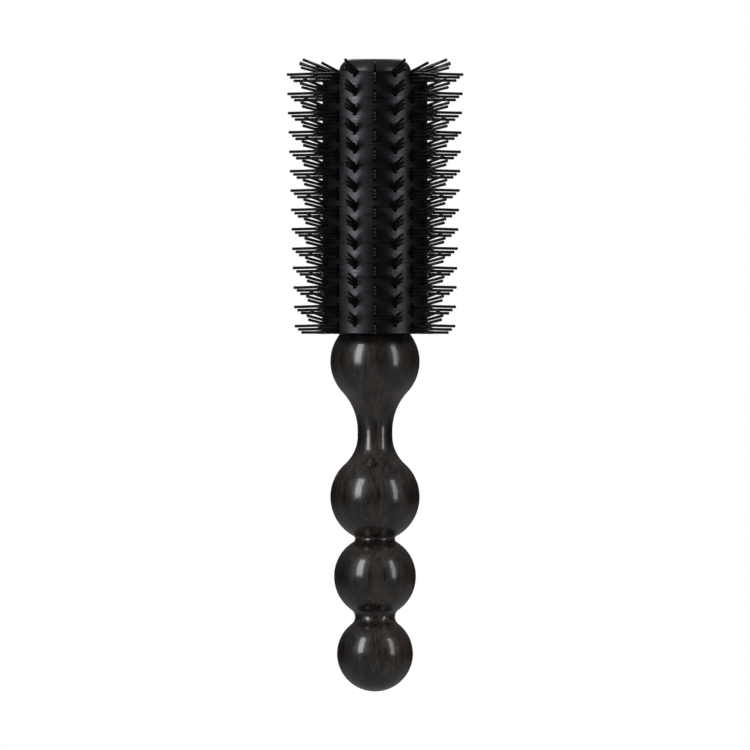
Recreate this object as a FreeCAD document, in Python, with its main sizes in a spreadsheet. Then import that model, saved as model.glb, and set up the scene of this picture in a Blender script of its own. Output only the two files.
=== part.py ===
import FreeCAD, Part
import math
import os

import Sketcher

# Round barrel brush for a hair salon. Millimetres, +Z up, origin at the lowest
# point of the end bead on the brush's axis, so the handle points down and the
# cap is at the top.
#
# A tie rod runs from an insert in the wooden handle to a nut under the cap and
# clamps base hub, core and top hub together. The core is a star section whose
# channels hold moulded strips, and the slotted tube over it lets their pins out.

# alias: (value, what it is)
SIZES = {
    # handle, from its lower end upwards
    "end_bead_radius": (15.7, "bead at the free end"),
    "finger_bead_radius": (16.95, "third bead from the barrel"),
    "finger_bead_height": (47.6, "its centre above the origin"),
    "palm_bead_radius": (18.5, "second bead from the barrel"),
    "palm_bead_height": (80.4, "its centre"),
    "neck_bead_radius": (18.5, "bead under the barrel"),
    "neck_bead_height": (136.3, "its centre"),
    "lower_neck_fillet": (3.5, "turned hollow between end and finger bead"),
    "upper_neck_fillet": (1.2, "turned hollow between finger and palm bead"),
    "waist_radius": (7.2, "straight middle of the waist"),
    "waist_lower_sweep": (15.3, "hollow curve from palm bead to waist"),
    "waist_upper_sweep": (23.5, "hollow curve from waist to neck bead"),
    # fasteners
    "rod_radius": (3.0, "M6 tie rod"),
    "thread_gap": (0.05, "radial gap kept where threads meet"),
    "clearance_bore_radius": (3.2, "clearance bore for the rod"),
    "insert_radius": (4.5, "brass insert"),
    "insert_length": (14.0, "insert, and the rod's grip in the handle"),
    "rod_end_relief": (5.0, "bore below the insert"),
    "dowel_radius": (1.5, "anti-turn dowel"),
    "dowel_circle_radius": (8.5, "distance of the dowels from the axis"),
    "dowel_in_handle": (9.0, "dowel length in the handle"),
    "dowel_in_hub": (7.0, "dowel length in the base hub"),
    "washer_radius": (6.0, "M6 washer"),
    "washer_thickness": (1.6, "M6 washer"),
    "nut_flats": (10.0, "M6 nut across flats"),
    "nut_height": (5.0, "M6 nut"),
    "rod_past_nut": (1.4, "rod end above the nut"),
    "rod_chamfer": (0.8, "chamfer at both ends of the rod"),
    # barrel
    "barrel_radius": (21.7, "outside of the tube"),
    "barrel_wall": (1.2, "tube wall"),
    "barrel_base": (147.9, "height of the barrel's lower end"),
    "barrel_length": (108.4, "tube, core and strips"),
    "core_bore_radius": (12.0, "open middle of the core"),
    "fit_gap": (0.1, "gap between parts that slide together"),
    "hub_flange_radius": (18.1, "both hubs' flanges"),
    "base_flange_thickness": (3.0, "base hub flange"),
    "top_flange_thickness": (4.0, "top hub flange"),
    "hub_boss_radius": (11.9, "boss that centres a hub in the core"),
    "hub_boss_length": (7.0, "boss below or above the flange"),
    "cap_dish_depth": (2.0, "recess in the top hub for the cap"),
    "nut_well_radius": (8.0, "recess in the top hub for the washer and nut"),
    "nut_well_depth": (6.0, "its depth below the hub's top face"),
    # cap
    "cap_radius": (14.87, "outside of the cap"),
    "cap_rise": (5.0, "cap above the barrel"),
    "cap_corner": (5.6, "outer corner radius"),
    "cap_wall": (2.0, "cap wall"),
    # strips
    "rail_inner_radius": (16.3, "inner face of a strip's rail"),
    "rail_outer_radius": (20.4, "outer face of a strip's rail"),
    "rail_width": (1.7, "rail across"),
    "columns": (8, "strips of each family round the barrel"),
    "rows": (14, "groups of pins along a strip"),
    "row_pitch": (8.0, "height between groups"),
    "row_taper": (0.25, "each lower group is set this much deeper"),
    "top_row_height": (254.85, "tip of the top group's longest pin"),
    # pins
    "pin_start_radius": (17.4, "where a pin starts inside its rail"),
    "pin_root_radius": (0.66, "thick root"),
    "pin_shaft_radius": (0.58, "slim shaft"),
    "pin_ball_radius": (0.68, "ball tip"),
    "pin_root_length": (9.0, "thick root from the pin's start"),
    "pin_neck_length": (1.5, "taper from root to shaft"),
    "level_tip_radius": (35.9, "ball centre of the longest level pin"),
    "level_tip_step": (1.4, "each lower pin of the group is shorter by this"),
    "level_tip_drop": (1.3, "and lower by this"),
    "level_droop": (0.2, "degrees that the shortest level pin points down"),
    "level_droop_step": (0.7, "degrees more for each longer pin above it"),
    "lean_low_radius": (32.6, "ball centre of the lowest leaning pin"),
    "lean_middle_radius": (33.25, "ball centre of the middle leaning pin"),
    "lean_high_radius": (31.75, "ball centre of the highest leaning pin"),
    "lean_tip_rise": (2.65, "lowest leaning tip above the level pin's tip"),
    "lean_tip_step": (1.66, "each next leaning tip is higher by this"),
    "lean_low_angle": (13.4, "degrees that the lowest leaning pin points up"),
    "lean_middle_angle": (14.2, "the same for the middle one"),
    "lean_high_angle": (20.4, "the same for the highest, which forks off the middle one"),
    "crown_tip_radius": (30.6, "ball centre of the crown pin over the barrel's top edge"),
    "crown_tip_rise": (4.65, "its tip above the top group's level tip"),
    "crown_angle": (20.6, "degrees that it points up"),
    "crown_root_length": (4.5, "its thick root"),
    # slots in the tube
    "slot_width": (1.7, "slot across"),
    "level_slot_base": (4.0, "slot's foot below the group's longest tip"),
    "level_slot_height": (5.5, "slot for a group of level pins, the top one open upwards"),
    "lean_slot_base": (1.15, "slot's foot below the level tip"),
    "lean_slot_height": (4.8, "slot for a group of leaning pins, the top one open upwards"),
    "lean_slot_pitch": (7.94, "height between slots for leaning groups"),
}

# Sketch geometry ids and point codes, as the sketcher numbers them.
ORIGIN_POINT = (-1, 1)
VERTICAL_AXIS = -2
START, END, CENTRE = 1, 2, 3

doc = FreeCAD.newDocument("RoundBarrelBrush")
sheet = doc.addObject("Spreadsheet::Sheet", "Sizes")
# A cell of its own for working out a sketch's first guess: the sizes stay
# untouched, so the features that depend on them aren't worked out again.
first_guess = doc.addObject("Spreadsheet::Sheet", "FirstGuess")


def fill_sheet():
    """Write every driving size to the sheet and give its cell an alias."""
    for row, (alias, (value, meaning)) in enumerate(SIZES.items(), start=1):
        sheet.set(f"A{row}", meaning)
        sheet.set(f"B{row}", str(value))
        sheet.setAlias(f"B{row}", alias)
    doc.recompute()


def size(alias):
    """Value of one driving size."""
    return float(sheet.get(alias))


def cells(formula):
    """Turn a formula of bare aliases into one that names the sheet."""
    words = []
    for word in formula.replace("(", " ( ").replace(")", " ) ").split():
        words.append(f"Sizes.{word}" if word in SIZES else word)
    return " ".join(words)


def value_of(formula):
    """Value of a formula of aliases, for a sketch's first guess."""
    first_guess.set("A1", "=" + cells(formula))
    first_guess.recompute()
    return float(first_guess.get("A1"))


def new_body(name):
    """Body of one piece."""
    body = doc.addObject("PartDesign::Body", name)
    body.Label = name
    return body


def new_sketch(body, name, role):
    """Sketch on one of the body's own origin planes."""
    sketch = body.newObject("Sketcher::SketchObject", name)
    plane = [item for item in body.Origin.OriginFeatures if item.Role == role][0]
    sketch.AttachmentSupport = [(plane, "")]
    sketch.MapMode = "FlatFace"
    return sketch


def origin_axis(body, role):
    """Axis of the body's origin."""
    return [item for item in body.Origin.OriginFeatures if item.Role == role][0]


def constrain(sketch, kind, *where, formula=None):
    """Add one constraint, driven by a formula of aliases if it has one."""
    if formula is None:
        return sketch.addConstraint(Sketcher.Constraint(kind, *where))
    first_value = value_of(formula)
    if kind == "Angle":
        first_value = math.radians(first_value)
    index = sketch.addConstraint(Sketcher.Constraint(kind, *where, first_value))
    unit = " * 1 deg" if kind == "Angle" else " * 1 mm"
    sketch.setExpression(f"Constraints[{index}]", f"( {cells(formula)} ){unit}")
    return index


def place_point(sketch, geometry, point, x_formula, y_formula):
    """Fix a point at formulas of aliases, measured from the origin."""
    for kind, formula in (("DistanceX", x_formula), ("DistanceY", y_formula)):
        if formula == "0":
            axis = VERTICAL_AXIS if kind == "DistanceX" else -1
            constrain(sketch, "PointOnObject", geometry, point, axis)
        else:
            constrain(sketch, kind, *ORIGIN_POINT, geometry, point, formula=formula)


def add_outline(sketch, corners):
    """Closed outline of straight lines through corners given as formulas."""
    points = [FreeCAD.Vector(value_of(x), value_of(y), 0) for x, y in corners]
    count = len(points)
    lines = []
    for index in range(count):
        segment = Part.LineSegment(points[index], points[(index + 1) % count])
        lines.append(sketch.addGeometry(segment, False))
    for index in range(count):
        constrain(sketch, "Coincident", lines[index - 1], END, lines[index], START)
        place_point(sketch, lines[index], START, *corners[index])
    return lines


def add_circle(sketch, x_formula, y_formula, radius_formula):
    """Circle with its centre and radius given as formulas."""
    centre = FreeCAD.Vector(value_of(x_formula), value_of(y_formula), 0)
    up = FreeCAD.Vector(0, 0, 1)
    circle = sketch.addGeometry(Part.Circle(centre, up, value_of(radius_formula)), False)
    if x_formula == "0" and y_formula == "0":
        constrain(sketch, "Coincident", circle, CENTRE, *ORIGIN_POINT)
    else:
        place_point(sketch, circle, CENTRE, x_formula, y_formula)
    constrain(sketch, "Radius", circle, formula=radius_formula)
    return circle


def revolve(body, sketch, name):
    """Full turn of a sketch about the sketch's vertical axis."""
    turn = body.newObject("PartDesign::Revolution", name)
    turn.Profile = sketch
    turn.ReferenceAxis = (sketch, ["V_Axis"])
    turn.Angle = 360
    return turn


def pad(body, sketch, name, length, midplane=False):
    """Pad of a sketch, its length a formula of aliases."""
    feature = body.newObject("PartDesign::Pad", name)
    feature.Profile = sketch
    feature.SideType = "Symmetric" if midplane else "One side"
    feature.setExpression("Length", f"( {cells(length)} ) * 1 mm")
    return feature


def pocket(body, sketch, name, length, midplane=False, reverse=False):
    """Pocket of a sketch, its depth a formula of aliases."""
    feature = body.newObject("PartDesign::Pocket", name)
    feature.Profile = sketch
    feature.SideType = "Symmetric" if midplane else "One side"
    feature.Reversed = reverse
    feature.setExpression("Length", f"( {cells(length)} ) * 1 mm")
    return feature


def ring_of(body, features, name, count):
    """Repeat features evenly round the body's Z axis."""
    ring = body.newObject("PartDesign::PolarPattern", name)
    ring.Originals = features
    ring.Axis = (origin_axis(body, "Z_Axis"), [""])
    ring.Angle = 360
    ring.setExpression("Occurrences", cells(count))
    body.Tip = ring
    return ring


def turned_piece(name, corners):
    """Piece turned from an outline of straight lines, radius then height."""
    body = new_body(name)
    sketch = new_sketch(body, name + "_outline", "XZ_Plane")
    add_outline(sketch, corners)
    revolve(body, sketch, name + "_turning")
    doc.recompute()
    return body


# ------------------------------------------------------------------ handle

def arc_between(centre, radius, start, end):
    """Arc of a circle, anticlockwise from one point to another."""
    from_angle = math.atan2(start[1] - centre[1], start[0] - centre[0])
    to_angle = math.atan2(end[1] - centre[1], end[0] - centre[0])
    middle = FreeCAD.Vector(centre[0], centre[1], 0)
    circle = Part.Circle(middle, FreeCAD.Vector(0, 0, 1), radius)
    return Part.ArcOfCircle(circle, from_angle, to_angle)


def towards(start, end, distance):
    """Point at a distance from start on the way to end."""
    span = math.dist(start, end)
    return tuple(a + (b - a) * distance / span for a, b in zip(start, end))


def hollow_between(low, low_radius, high, high_radius, fillet):
    """Centre of the hollow that touches two beads on the axis."""
    gap = high - low
    low_reach = low_radius + fillet
    high_reach = high_radius + fillet
    along = (gap ** 2 + low_reach ** 2 - high_reach ** 2) / (2 * gap)
    return (math.sqrt(low_reach ** 2 - along ** 2), low + along)


def handle_outline(sketch):
    """Half outline of the handle: beads, hollows and waist in one tangent run."""
    bead_names = ("end", "finger", "palm", "neck")
    radius = {name: size(f"{name}_bead_radius") for name in bead_names}
    height = {name: size(f"{name}_bead_height") for name in bead_names[1:]}
    height["end"] = radius["end"]
    centre = {name: (0.0, height[name]) for name in bead_names}
    top = size("barrel_base")
    waist = size("waist_radius")

    necks = []
    for low, high, fillet_name in (("end", "finger", "lower_neck_fillet"),
                                   ("finger", "palm", "upper_neck_fillet")):
        fillet = size(fillet_name)
        middle = hollow_between(height[low], radius[low], height[high], radius[high], fillet)
        necks.append((middle, fillet))

    sweeps = []
    for bead, side, sweep_name in (("palm", 1, "waist_lower_sweep"),
                                   ("neck", -1, "waist_upper_sweep")):
        sweep = size(sweep_name)
        reach = radius[bead] + sweep
        rise = math.sqrt(reach ** 2 - (waist + sweep) ** 2)
        sweeps.append(((waist + sweep, height[bead] + side * rise), sweep))

    # Points where one curve hands over to the next, from the foot upwards.
    foot = (0.0, 0.0)
    touch = []
    touch.append(towards(centre["end"], necks[0][0], radius["end"]))
    touch.append(towards(centre["finger"], necks[0][0], radius["finger"]))
    touch.append(towards(centre["finger"], necks[1][0], radius["finger"]))
    touch.append(towards(centre["palm"], necks[1][0], radius["palm"]))
    touch.append(towards(centre["palm"], sweeps[0][0], radius["palm"]))
    touch.append((waist, sweeps[0][0][1]))
    touch.append((waist, sweeps[1][0][1]))
    touch.append(towards(centre["neck"], sweeps[1][0], radius["neck"]))
    rim = (math.sqrt(radius["neck"] ** 2 - (top - height["neck"]) ** 2), top)

    def vector(point):
        return FreeCAD.Vector(point[0], point[1], 0)

    geometry = [
        arc_between(centre["end"], radius["end"], foot, touch[0]),
        arc_between(necks[0][0], necks[0][1], touch[1], touch[0]),
        arc_between(centre["finger"], radius["finger"], touch[1], touch[2]),
        arc_between(necks[1][0], necks[1][1], touch[3], touch[2]),
        arc_between(centre["palm"], radius["palm"], touch[3], touch[4]),
        arc_between(sweeps[0][0], sweeps[0][1], touch[5], touch[4]),
        Part.LineSegment(vector(touch[5]), vector(touch[6])),
        arc_between(sweeps[1][0], sweeps[1][1], touch[7], touch[6]),
        arc_between(centre["neck"], radius["neck"], touch[7], rim),
        Part.LineSegment(vector(rim), vector((0.0, top))),
        Part.LineSegment(vector((0.0, top)), vector(foot)),
    ]
    sketch.addGeometry(geometry, False)
    end, low, finger, high, palm, lower, straight, upper, neck, face, axis = range(11)

    constrain(sketch, "Coincident", axis, END, end, START)
    constrain(sketch, "Coincident", axis, END, *ORIGIN_POINT)
    for first, first_point, second, second_point in (
            (end, END, low, END), (low, START, finger, START),
            (finger, END, high, END), (high, START, palm, START),
            (palm, END, lower, END), (lower, START, straight, START),
            (straight, END, upper, END), (upper, START, neck, START)):
        constrain(sketch, "Tangent", first, first_point, second, second_point)
    constrain(sketch, "Coincident", neck, END, face, START)
    constrain(sketch, "Coincident", face, END, axis, START)
    constrain(sketch, "Horizontal", face)
    constrain(sketch, "Vertical", axis)
    constrain(sketch, "Vertical", straight)

    for arc in (end, finger, palm, neck):
        constrain(sketch, "PointOnObject", arc, CENTRE, VERTICAL_AXIS)
    constrain(sketch, "Radius", end, formula="end_bead_radius")
    for arc, name in ((finger, "finger"), (palm, "palm"), (neck, "neck")):
        constrain(sketch, "Radius", arc, formula=f"{name}_bead_radius")
        constrain(sketch, "DistanceY", *ORIGIN_POINT, arc, CENTRE,
                  formula=f"{name}_bead_height")
    constrain(sketch, "Radius", low, formula="lower_neck_fillet")
    constrain(sketch, "Radius", high, formula="upper_neck_fillet")
    constrain(sketch, "Radius", lower, formula="waist_lower_sweep")
    constrain(sketch, "Radius", upper, formula="waist_upper_sweep")
    constrain(sketch, "DistanceX", *ORIGIN_POINT, straight, START, formula="waist_radius")
    constrain(sketch, "DistanceY", *ORIGIN_POINT, face, END, formula="barrel_base")


def bore_from(body, name, radius, top, depth, ring_radius=None):
    """Blind bore cut downwards from a height, on the axis or at two sides of it."""
    sketch = new_sketch(body, name + "_circle", "XY_Plane")
    sketch.setExpression("AttachmentOffset.Base.z", f"( {cells(top)} ) * 1 mm")
    add_circle(sketch, ring_radius or "0", "0", radius)
    bore = pocket(body, sketch, name, depth)
    doc.recompute()
    if ring_radius:
        return ring_of(body, [bore], name + "_pair", "2")
    return bore


def make_handle():
    """Turned wooden handle with bores for the insert, rod end and dowels."""
    body = new_body("handle")
    outline = new_sketch(body, "handle_outline", "XZ_Plane")
    handle_outline(outline)
    revolve(body, outline, "handle_turning")
    doc.recompute()
    bore_from(body, "insert_bore", "insert_radius", "barrel_base", "insert_length")
    bore_from(body, "relief_bore", "clearance_bore_radius", "barrel_base",
              "insert_length + rod_end_relief")
    bore_from(body, "dowel_bore", "dowel_radius", "barrel_base", "dowel_in_handle",
              ring_radius="dowel_circle_radius")
    return body


# --------------------------------------------------------------- fasteners

def make_insert():
    """Brass insert that the tie rod screws into."""
    foot = "barrel_base - insert_length"
    return turned_piece("threaded_insert", [
        ("rod_radius", foot),
        ("insert_radius", foot),
        ("insert_radius", "barrel_base"),
        ("rod_radius", "barrel_base"),
    ])


def make_dowels():
    """Two dowels across from each other, one node of two solids."""
    dowels = []
    for number, sign in ((1, ""), (2, "-")):
        dowel = doc.addObject("Part::Cylinder", f"dowel_{number}")
        dowel.setExpression("Radius", "Sizes.dowel_radius * 1 mm")
        dowel.setExpression("Height", "( Sizes.dowel_in_handle + Sizes.dowel_in_hub ) * 1 mm")
        dowel.setExpression("Placement.Base.x", f"{sign}Sizes.dowel_circle_radius * 1 mm")
        dowel.setExpression("Placement.Base.z",
                            "( Sizes.barrel_base - Sizes.dowel_in_handle ) * 1 mm")
        dowels.append(dowel)
    pair = doc.addObject("Part::Compound", "anti_turn_dowels")
    pair.Links = dowels
    return pair


NUT_SEAT = "barrel_base + barrel_length - nut_well_depth"


def make_rod():
    """Tie rod with chamfered ends."""
    foot = "barrel_base - insert_length"
    head = NUT_SEAT + " + washer_thickness + nut_height + rod_past_nut"
    side = "rod_radius - thread_gap"
    return turned_piece("tie_rod", [
        ("0", foot),
        (side + " - rod_chamfer", foot),
        (side, foot + " + rod_chamfer"),
        (side, head + " - rod_chamfer"),
        (side + " - rod_chamfer", head),
        ("0", head),
    ])


def make_washer():
    """Plain washer under the nut."""
    return turned_piece("washer", [
        ("clearance_bore_radius", NUT_SEAT),
        ("washer_radius", NUT_SEAT),
        ("washer_radius", NUT_SEAT + " + washer_thickness"),
        ("clearance_bore_radius", NUT_SEAT + " + washer_thickness"),
    ])


def make_nut():
    """Hexagon nut."""
    body = new_body("nut")
    sketch = new_sketch(body, "nut_hexagon", "XY_Plane")
    sketch.setExpression("AttachmentOffset.Base.z",
                         f"( {cells(NUT_SEAT)} + Sizes.washer_thickness ) * 1 mm")
    corner = size("nut_flats") / math.sqrt(3)
    points = [FreeCAD.Vector(corner * math.cos(math.radians(60 * step)),
                             corner * math.sin(math.radians(60 * step)), 0)
              for step in range(6)]
    sides = []
    for step in range(6):
        segment = Part.LineSegment(points[step], points[(step + 1) % 6])
        sides.append(sketch.addGeometry(segment, False))
    rim = sketch.addGeometry(
        Part.Circle(FreeCAD.Vector(0, 0, 0), FreeCAD.Vector(0, 0, 1), corner), True)
    constrain(sketch, "Coincident", rim, CENTRE, *ORIGIN_POINT)
    for step in range(6):
        constrain(sketch, "Coincident", sides[step - 1], END, sides[step], START)
        constrain(sketch, "PointOnObject", sides[step], START, rim)
    for step in range(1, 6):
        constrain(sketch, "Equal", sides[0], sides[step])
    constrain(sketch, "Horizontal", sides[1])
    constrain(sketch, "DistanceY", *ORIGIN_POINT, sides[1], START, formula="nut_flats / 2")
    add_circle(sketch, "0", "0", "rod_radius")
    pad(body, sketch, "nut_block", "nut_height")
    return body


# ------------------------------------------------------------ hubs and cap

def make_base_hub():
    """Disc that centres the barrel's foot on the handle."""
    shoulder = "barrel_base + base_flange_thickness"
    boss_top = shoulder + " + hub_boss_length"
    body = turned_piece("base_hub", [
        ("clearance_bore_radius", "barrel_base"),
        ("hub_flange_radius", "barrel_base"),
        ("hub_flange_radius", shoulder),
        ("hub_boss_radius", shoulder),
        ("hub_boss_radius", boss_top),
        ("clearance_bore_radius", boss_top),
    ])
    bore_from(body, "hub_dowel_bore", "dowel_radius", "barrel_base + dowel_in_hub",
              "dowel_in_hub", ring_radius="dowel_circle_radius")
    return body


BARREL_TOP = "barrel_base + barrel_length"


def make_top_hub():
    """Disc that closes the barrel and seats the nut and the cap."""
    shoulder = BARREL_TOP + " - top_flange_thickness"
    dish_floor = BARREL_TOP + " - cap_dish_depth"
    boss_foot = shoulder + " - hub_boss_length"
    return turned_piece("top_hub", [
        ("clearance_bore_radius", boss_foot),
        ("hub_boss_radius", boss_foot),
        ("hub_boss_radius", shoulder),
        ("hub_flange_radius", shoulder),
        ("hub_flange_radius", BARREL_TOP),
        ("cap_radius + thread_gap", BARREL_TOP),
        ("cap_radius + thread_gap", dish_floor),
        ("nut_well_radius", dish_floor),
        ("nut_well_radius", NUT_SEAT),
        ("clearance_bore_radius", NUT_SEAT),
    ])


def make_end_cap():
    """Hollow cap with a rounded edge, pressed into the top hub's dish."""
    body = new_body("end_cap")
    sketch = new_sketch(body, "cap_outline", "XZ_Plane")
    outer = size("cap_radius")
    corner = size("cap_corner")
    wall = size("cap_wall")
    foot = size("barrel_base") + size("barrel_length") - size("cap_dish_depth")
    top = size("barrel_base") + size("barrel_length") + size("cap_rise")
    middle = (outer - corner, top - corner)

    def line(x_start, y_start, x_end, y_end):
        return Part.LineSegment(FreeCAD.Vector(x_start, y_start, 0),
                                FreeCAD.Vector(x_end, y_end, 0))

    inner_corner = corner - wall
    sketch.addGeometry([
        line(outer, foot, outer, middle[1]),
        arc_between(middle, corner, (outer, middle[1]), (middle[0], top)),
        line(middle[0], top, 0, top),
        line(0, top, 0, top - wall),
        line(0, top - wall, middle[0], top - wall),
        arc_between(middle, inner_corner, (middle[0] + inner_corner, middle[1]),
                    (middle[0], middle[1] + inner_corner)),
        line(outer - wall, middle[1], outer - wall, foot),
        line(outer - wall, foot, outer, foot),
    ], False)
    skirt, outside, face, axis, ceiling, inside, lining, rim = range(8)
    constrain(sketch, "Tangent", skirt, END, outside, START)
    constrain(sketch, "Tangent", outside, END, face, START)
    constrain(sketch, "Coincident", face, END, axis, START)
    constrain(sketch, "Coincident", axis, END, ceiling, START)
    constrain(sketch, "Tangent", ceiling, END, inside, END)
    constrain(sketch, "Tangent", inside, START, lining, START)
    constrain(sketch, "Coincident", lining, END, rim, START)
    constrain(sketch, "Coincident", rim, END, skirt, START)
    constrain(sketch, "Vertical", skirt)
    constrain(sketch, "Horizontal", face)
    constrain(sketch, "Vertical", lining)
    constrain(sketch, "Horizontal", ceiling)
    constrain(sketch, "Horizontal", rim)
    constrain(sketch, "Coincident", inside, CENTRE, outside, CENTRE)
    place_point(sketch, skirt, START, "cap_radius", BARREL_TOP + " - cap_dish_depth")
    place_point(sketch, axis, START, "0", BARREL_TOP + " + cap_rise")
    constrain(sketch, "PointOnObject", axis, END, VERTICAL_AXIS)
    constrain(sketch, "Distance", rim, formula="cap_wall")
    constrain(sketch, "Radius", outside, formula="cap_corner")
    revolve(body, sketch, "cap_moulding")
    return body


# ------------------------------------------------------------ barrel parts

def add_slots(body, name, base, height, pitch, turned):
    """Slots for one family of strips: one slot, repeated down and round."""
    sketch = new_sketch(body, name + "_slot", "YZ_Plane")
    if turned:
        turn = FreeCAD.Rotation(FreeCAD.Vector(0, 1, 0), 1)
        sketch.AttachmentOffset = FreeCAD.Placement(FreeCAD.Vector(), turn)
        sketch.setExpression("AttachmentOffset.Rotation.Angle",
                             "180 / Sizes.columns * 1 deg")
    foot = f"top_row_height - {base}"
    head = f"{foot} + {height}"
    add_outline(sketch, [
        ("- slot_width / 2", foot),
        ("slot_width / 2", foot),
        ("slot_width / 2", head),
        ("- slot_width / 2", head),
    ])
    cut = pocket(body, sketch, name + "_cut", "barrel_radius + 1", reverse=True)
    doc.recompute()
    grid = body.newObject("PartDesign::MultiTransform", name + "_grid")
    grid.Refine = False
    grid.Originals = [cut]
    column = doc.addObject("PartDesign::LinearPattern", name + "_column")
    column.Direction = (sketch, ["V_Axis"])
    column.Reversed = True
    column.setExpression("Length", f"( {cells(pitch)} ) * ( Sizes.rows - 1 ) * 1 mm")
    column.setExpression("Occurrences", cells("rows"))
    ring = doc.addObject("PartDesign::PolarPattern", name + "_ring")
    ring.Axis = (origin_axis(body, "Z_Axis"), [""])
    ring.Angle = 360
    ring.setExpression("Occurrences", cells("columns"))
    grid.Transformations = [column, ring]
    body.Tip = grid
    doc.recompute()
    return grid


def make_barrel_tube():
    """Slotted tube that the pins come out of."""
    body = new_body("barrel_tube")
    section = new_sketch(body, "tube_section", "XY_Plane")
    section.setExpression("AttachmentOffset.Base.z", "Sizes.barrel_base * 1 mm")
    add_circle(section, "0", "0", "barrel_radius")
    add_circle(section, "0", "0", "barrel_radius - barrel_wall")
    pad(body, section, "tube_length", "barrel_length")
    doc.recompute()
    add_slots(body, "level", "level_slot_base", "level_slot_height", "row_pitch", False)
    add_slots(body, "leaning", "lean_slot_base", "lean_slot_height", "lean_slot_pitch", True)
    return body


def make_strip_core():
    """Star section with a channel for each strip and a counterbore at each end."""
    body = new_body("strip_core")
    section = new_sketch(body, "core_section", "XY_Plane")
    section.setExpression("AttachmentOffset.Base.z", "Sizes.barrel_base * 1 mm")
    add_circle(section, "0", "0", "rail_outer_radius")
    add_circle(section, "0", "0", "core_bore_radius")
    pad(body, section, "core_length", "barrel_length")
    doc.recompute()
    bore_from(body, "base_seat", "hub_flange_radius", "barrel_base + base_flange_thickness",
              "base_flange_thickness")
    bore_from(body, "top_seat", "hub_flange_radius", BARREL_TOP, "top_flange_thickness")
    channel = new_sketch(body, "channel_section", "XY_Plane")
    channel.setExpression("AttachmentOffset.Base.z", f"( {cells(BARREL_TOP)} ) * 1 mm")
    floor = "rail_inner_radius"
    side = "( rail_width + fit_gap ) / 2"
    add_outline(channel, [
        (floor, "- " + side),
        ("barrel_radius", "- " + side),
        ("barrel_radius", side),
        (floor, side),
    ])
    cut = pocket(body, channel, "channel", "barrel_length")
    doc.recompute()
    ring_of(body, [cut], "channels", "columns * 2")
    return body


# ------------------------------------------------------------------ strips

def add_pin(body, name, tip_radius, tip_height, angle, root_length="pin_root_length"):
    """Ball-tipped pin: thick root, short neck, slim shaft and ball.

    The pin is turned about its own axis, which points outwards at an angle
    above the horizontal, from a start inside the rail to the ball's far end.
    """
    sketch = new_sketch(body, name + "_outline", "XZ_Plane")
    lean = math.radians(value_of(angle))
    along = FreeCAD.Vector(math.cos(lean), math.sin(lean), 0)
    across = FreeCAD.Vector(-math.sin(lean), math.cos(lean), 0)
    ball = FreeCAD.Vector(value_of(tip_radius), value_of(tip_height), 0)
    start = ball - along * ((ball.x - size("pin_start_radius")) / math.cos(lean))
    ball_size = size("pin_ball_radius")
    shaft = size("pin_shaft_radius")
    root = size("pin_root_radius")
    shaft_end = math.sqrt(ball_size ** 2 - shaft ** 2)

    root_start = start + across * root
    root_end = root_start + along * value_of(root_length)
    neck_run = math.sqrt(size("pin_neck_length") ** 2 - (root - shaft) ** 2)
    shaft_start = root_end + along * neck_run - across * (root - shaft)
    shaft_stop = ball - along * shaft_end + across * shaft
    far_end = ball + along * ball_size
    dome = Part.ArcOfCircle(
        Part.Circle(ball, FreeCAD.Vector(0, 0, 1), ball_size),
        lean, lean + math.pi - math.asin(shaft / ball_size))
    sketch.addGeometry([
        Part.LineSegment(start, far_end),
        Part.LineSegment(start, root_start),
        Part.LineSegment(root_start, root_end),
        Part.LineSegment(root_end, shaft_start),
        Part.LineSegment(shaft_start, shaft_stop),
        dome,
    ], False)
    sketch.addGeometry(Part.LineSegment(start, far_end), True)
    axis, base, thick, neck, slim, arc, centre_line = range(7)
    constrain(sketch, "Coincident", axis, START, base, START)
    constrain(sketch, "Coincident", base, END, thick, START)
    constrain(sketch, "Coincident", thick, END, neck, START)
    constrain(sketch, "Coincident", neck, END, slim, START)
    constrain(sketch, "Coincident", slim, END, arc, END)
    constrain(sketch, "Coincident", arc, START, axis, END)
    constrain(sketch, "Coincident", centre_line, START, axis, START)
    constrain(sketch, "Coincident", centre_line, END, axis, END)
    constrain(sketch, "Perpendicular", base, axis)
    constrain(sketch, "Parallel", thick, axis)
    constrain(sketch, "Parallel", slim, axis)
    constrain(sketch, "PointOnObject", arc, CENTRE, axis)
    place_point(sketch, arc, CENTRE, tip_radius, tip_height)
    constrain(sketch, "DistanceX", *ORIGIN_POINT, axis, START, formula="pin_start_radius")
    constrain(sketch, "Angle", axis, formula=angle)
    constrain(sketch, "Radius", arc, formula="pin_ball_radius")
    constrain(sketch, "Distance", base, formula="pin_root_radius")
    constrain(sketch, "Distance", thick, formula=root_length)
    constrain(sketch, "Distance", neck, formula="pin_neck_length")
    constrain(sketch, "Distance", slim, START, axis, formula="pin_shaft_radius")
    pin = body.newObject("PartDesign::Revolution", name)
    pin.Profile = sketch
    pin.ReferenceAxis = (sketch, ["Axis0"])
    pin.Angle = 360
    return pin


def add_rail(body):
    """Rail of a strip, the bar that the pins grow out of."""
    section = new_sketch(body, body.Name + "_rail_side", "XZ_Plane")
    add_outline(section, [
        ("rail_inner_radius", "barrel_base"),
        ("rail_outer_radius", "barrel_base"),
        ("rail_outer_radius", BARREL_TOP),
        ("rail_inner_radius", BARREL_TOP),
    ])
    pad(body, section, body.Name + "_rail", "rail_width", midplane=True)
    doc.recompute()


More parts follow.
